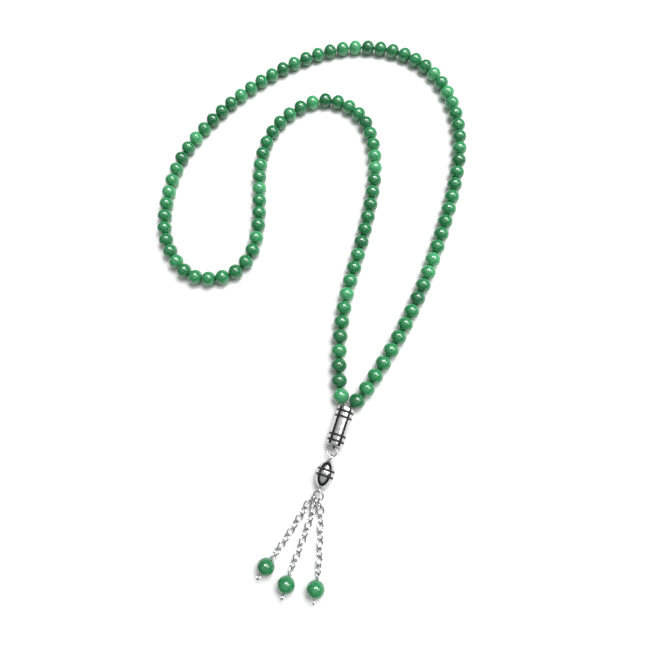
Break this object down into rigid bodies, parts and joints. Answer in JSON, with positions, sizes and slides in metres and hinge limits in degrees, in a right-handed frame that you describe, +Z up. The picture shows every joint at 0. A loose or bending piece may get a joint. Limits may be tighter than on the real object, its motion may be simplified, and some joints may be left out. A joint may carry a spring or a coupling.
{
  "type": "prayer beads",
  "caption": "Misbaha strand of round green stone beads on a closed string, with a steel imam bead, a barrel bead and three short link chains ending in beads.",
  "frame": {"origin": "on the table, under the middle of the whole object", "axes": "+Z up from the table; +Y from the tassel towards the far end of the loop, along the imam bead; +X to the side of the loop on which the imam bead lies"},
  "size_m": [0.1728, 0.3225, 0.0091],
  "materials": {
    "green_stone": "polished translucent green stone, mottled",
    "polished_steel": "polished",
    "black_rubber": "satin black",
    "dark_cord": "twisted dark green polyester"
  },
  "bodies": {
    "strand": {"string": "dark_cord", "knot": "dark_cord", "string_tie": "dark_cord", "strand_beads_01": "green_stone", "strand_beads_02": "green_stone", "strand_beads_03": "green_stone", "strand_beads_04": "green_stone", "strand_beads_05": "green_stone", "strand_beads_06": "green_stone", "strand_beads_07": "green_stone", "strand_beads_08": "green_stone", "strand_beads_09": "green_stone", "strand_beads_10": "green_stone", "strand_beads_11": "green_stone", "strand_beads_12": "green_stone", "imam_bead": "polished_steel", "imam_o_ring_1": "black_rubber", "imam_o_ring_2": "black_rubber", "imam_o_ring_3": "black_rubber", "imam_o_ring_4": "black_rubber"},
    "bail": {"bail_ring": "polished_steel"},
    "barrel_pin": {"barrel_pin": "polished_steel"},
    "barrel": {"barrel_bead": "polished_steel", "barrel_o_ring_1": "black_rubber", "barrel_o_ring_2": "black_rubber"},
    "jump_ring": {"jump_ring": "polished_steel"},
    "left_link_1": {"left_link_1": "polished_steel"},
    "left_link_2": {"left_link_2": "polished_steel"},
    "left_link_3": {"left_link_3": "polished_steel"},
    "left_link_4": {"left_link_4": "polished_steel"},
    "left_link_5": {"left_link_5": "polished_steel"},
    "left_link_6": {"left_link_6": "polished_steel"},
    "left_link_7": {"left_link_7": "polished_steel"},
    "left_link_8": {"left_link_8": "polished_steel"},
    "left_link_9": {"left_link_9": "polished_steel"},
    "left_tail_pin": {"left_tail_pin": "polished_steel"},
    "left_tail_bead": {"left_tail_bead": "green_stone"},
    "middle_link_1": {"middle_link_1": "polished_steel"},
    "middle_link_2": {"middle_link_2": "polished_steel"},
    "middle_link_3": {"middle_link_3": "polished_steel"},
    "middle_link_4": {"middle_link_4": "polished_steel"},
    "middle_link_5": {"middle_link_5": "polished_steel"},
    "middle_link_6": {"middle_link_6": "polished_steel"},
    "middle_link_7": {"middle_link_7": "polished_steel"},
    "middle_link_8": {"middle_link_8": "polished_steel"},
    "middle_link_9": {"middle_link_9": "polished_steel"},
    "middle_tail_pin": {"middle_tail_pin": "polished_steel"},
    "middle_tail_bead": {"middle_tail_bead": "green_stone"},
    "right_link_1": {"right_link_1": "polished_steel"},
    "right_link_2": {"right_link_2": "polished_steel"},
    "right_link_3": {"right_link_3": "polished_steel"},
    "right_link_4": {"right_link_4": "polished_steel"},
    "right_link_5": {"right_link_5": "polished_steel"},
    "right_link_6": {"right_link_6": "polished_steel"},
    "right_link_7": {"right_link_7": "polished_steel"},
    "right_link_8": {"right_link_8": "polished_steel"},
    "right_link_9": {"right_link_9": "polished_steel"},
    "right_tail_pin": {"right_tail_pin": "polished_steel"},
    "right_tail_bead": {"right_tail_bead": "green_stone"}
  },
  "joints": [
    {"name": "bail_hinge", "type": "hinge", "parent": "strand", "child": "bail", "pos_m": [0.0617, -0.0866, 0.00455], "axis": [-1, 0, 0], "range_deg": [0, 60]},
    {"name": "barrel_pin_hinge", "type": "hinge", "parent": "bail", "child": "barrel_pin", "pos_m": [0.0617, -0.09098, 0.00455], "axis": [0, 0, 1], "range_deg": [-20, 20]},
    {"name": "barrel_spin", "type": "hinge", "parent": "barrel_pin", "child": "barrel", "pos_m": [0.0617, -0.10039, 0.00455], "axis": [0, 1, 0], "continuous": true},
    {"name": "jump_ring_hinge", "type": "hinge", "parent": "barrel_pin", "child": "jump_ring", "pos_m": [0.0617, -0.10941, 0.00455], "axis": [0, 0, 1], "range_deg": [-15, 15]},
    {"name": "left_link_1_hinge", "type": "hinge", "parent": "jump_ring", "child": "left_link_1", "pos_m": [0.05994, -0.11169, 0.00346], "axis": [0, 0, 1], "range_deg": [-16, 5]},
    {"name": "left_link_2_hinge", "type": "hinge", "parent": "left_link_1", "child": "left_link_2", "pos_m": [0.05816, -0.11478, 0.0022], "axis": [0, 0, 1], "range_deg": [-16, 5]},
    {"name": "left_link_3_hinge", "type": "hinge", "parent": "left_link_2", "child": "left_link_3", "pos_m": [0.05725, -0.11841, 0.00172], "axis": [0, 0, 1], "range_deg": [-16, 5]},
    {"name": "left_link_4_hinge", "type": "hinge", "parent": "left_link_3", "child": "left_link_4", "pos_m": [0.05631, -0.12208, 0.00168], "axis": [0, 0, 1], "range_deg": [-16, 5]},
    {"name": "left_link_5_hinge", "type": "hinge", "parent": "left_link_4", "child": "left_link_5", "pos_m": [0.05534, -0.12573, 0.00166], "axis": [0, 0, 1], "range_deg": [-16, 5]},
    {"name": "left_link_6_hinge", "type": "hinge", "parent": "left_link_5", "child": "left_link_6", "pos_m": [0.05434, -0.12937, 0.00166], "axis": [0, 0, 1], "range_deg": [-16, 5]},
    {"name": "left_link_7_hinge", "type": "hinge", "parent": "left_link_6", "child": "left_link_7", "pos_m": [0.05332, -0.13301, 0.00166], "axis": [0, 0, 1], "range_deg": [-16, 5]},
    {"name": "left_link_8_hinge", "type": "hinge", "parent": "left_link_7", "child": "left_link_8", "pos_m": [0.05227, -0.13664, 0.0017], "axis": [0, 0, 1], "range_deg": [-16, 5]},
    {"name": "left_link_9_hinge", "type": "hinge", "parent": "left_link_8", "child": "left_link_9", "pos_m": [0.0512, -0.14025, 0.00205], "axis": [0, 0, 1], "range_deg": [-16, 5]},
    {"name": "left_tail_pin_hinge", "type": "hinge", "parent": "left_link_9", "child": "left_tail_pin", "pos_m": [0.05011, -0.1438, 0.00275], "axis": [0, 0, 1], "range_deg": [-16, 5]},
    {"name": "left_tail_bead_spin", "type": "hinge", "parent": "left_tail_pin", "child": "left_tail_bead", "pos_m": [0.04822, -0.15, 0.004], "axis": [-0.2871, -0.939, 0.1894], "continuous": true},
    {"name": "middle_link_1_hinge", "type": "hinge", "parent": "jump_ring", "child": "middle_link_1", "pos_m": [0.06079, -0.11271, 0.00304], "axis": [0, 0, 1], "range_deg": [-5, 6]},
    {"name": "middle_link_2_hinge", "type": "hinge", "parent": "middle_link_1", "child": "middle_link_2", "pos_m": [0.0613, -0.11636, 0.0022], "axis": [0, 0, 1], "range_deg": [-5, 6]},
    {"name": "middle_link_3_hinge", "type": "hinge", "parent": "middle_link_2", "child": "middle_link_3", "pos_m": [0.06124, -0.12011, 0.00172], "axis": [0, 0, 1], "range_deg": [-5, 6]},
    {"name": "middle_link_4_hinge", "type": "hinge", "parent": "middle_link_3", "child": "middle_link_4", "pos_m": [0.06114, -0.12389, 0.00168], "axis": [0, 0, 1], "range_deg": [-5, 6]},
    {"name": "middle_link_5_hinge", "type": "hinge", "parent": "middle_link_4", "child": "middle_link_5", "pos_m": [0.06102, -0.12767, 0.00166], "axis": [0, 0, 1], "range_deg": [-5, 6]},
    {"name": "middle_link_6_hinge", "type": "hinge", "parent": "middle_link_5", "child": "middle_link_6", "pos_m": [0.06087, -0.13145, 0.00166], "axis": [0, 0, 1], "range_deg": [-5, 6]},
    {"name": "middle_link_7_hinge", "type": "hinge", "parent": "middle_link_6", "child": "middle_link_7", "pos_m": [0.06069, -0.13522, 0.00166], "axis": [0, 0, 1], "range_deg": [-5, 6]},
    {"name": "middle_link_8_hinge", "type": "hinge", "parent": "middle_link_7", "child": "middle_link_8", "pos_m": [0.06048, -0.13899, 0.0017], "axis": [0, 0, 1], "range_deg": [-5, 6]},
    {"name": "middle_link_9_hinge", "type": "hinge", "parent": "middle_link_8", "child": "middle_link_9", "pos_m": [0.06025, -0.14275, 0.00205], "axis": [0, 0, 1], "range_deg": [-5, 6]},
    {"name": "middle_tail_pin_hinge", "type": "hinge", "parent": "middle_link_9", "child": "middle_tail_pin", "pos_m": [0.05999, -0.14646, 0.00275], "axis": [0, 0, 1], "range_deg": [-5, 6]},
    {"name": "middle_tail_bead_spin", "type": "hinge", "parent": "middle_tail_pin", "child": "middle_tail_bead", "pos_m": [0.06013, -0.15426, 0.004], "axis": [0.0172, -0.9873, 0.1582], "continuous": true},
    {"name": "right_link_1_hinge", "type": "hinge", "parent": "jump_ring", "child": "right_link_1", "pos_m": [0.06247, -0.11278, 0.00301], "axis": [0, 0, 1], "range_deg": [-6, 16]},
    {"name": "right_link_2_hinge", "type": "hinge", "parent": "right_link_1", "child": "right_link_2", "pos_m": [0.06431, -0.11598, 0.0022], "axis": [0, 0, 1], "range_deg": [-6, 16]},
    {"name": "right_link_3_hinge", "type": "hinge", "parent": "right_link_2", "child": "right_link_3", "pos_m": [0.06547, -0.11954, 0.00172], "axis": [0, 0, 1], "range_deg": [-6, 16]},
    {"name": "right_link_4_hinge", "type": "hinge", "parent": "right_link_3", "child": "right_link_4", "pos_m": [0.06661, -0.12315, 0.00168], "axis": [0, 0, 1], "range_deg": [-6, 16]},
    {"name": "right_link_5_hinge", "type": "hinge", "parent": "right_link_4", "child": "right_link_5", "pos_m": [0.06773, -0.12676, 0.00166], "axis": [0, 0, 1], "range_deg": [-6, 16]},
    {"name": "right_link_6_hinge", "type": "hinge", "parent": "right_link_5", "child": "right_link_6", "pos_m": [0.06882, -0.13038, 0.00166], "axis": [0, 0, 1], "range_deg": [-6, 16]},
    {"name": "right_link_7_hinge", "type": "hinge", "parent": "right_link_6", "child": "right_link_7", "pos_m": [0.06988, -0.13401, 0.00166], "axis": [0, 0, 1], "range_deg": [-6, 16]},
    {"name": "right_link_8_hinge", "type": "hinge", "parent": "right_link_7", "child": "right_link_8", "pos_m": [0.07091, -0.13764, 0.0017], "axis": [0, 0, 1], "range_deg": [-6, 16]},
    {"name": "right_link_9_hinge", "type": "hinge", "parent": "right_link_8", "child": "right_link_9", "pos_m": [0.07191, -0.14127, 0.00205], "axis": [0, 0, 1], "range_deg": [-6, 16]},
    {"name": "right_tail_pin_hinge", "type": "hinge", "parent": "right_link_9", "child": "right_tail_pin", "pos_m": [0.07287, -0.14486, 0.00275], "axis": [0, 0, 1], "range_deg": [-6, 16]},
    {"name": "right_tail_bead_spin", "type": "hinge", "parent": "right_tail_pin", "child": "right_tail_bead", "pos_m": [0.07403, -0.15144, 0.004], "axis": [0.1707, -0.968, 0.1838], "continuous": true}
  ]
}
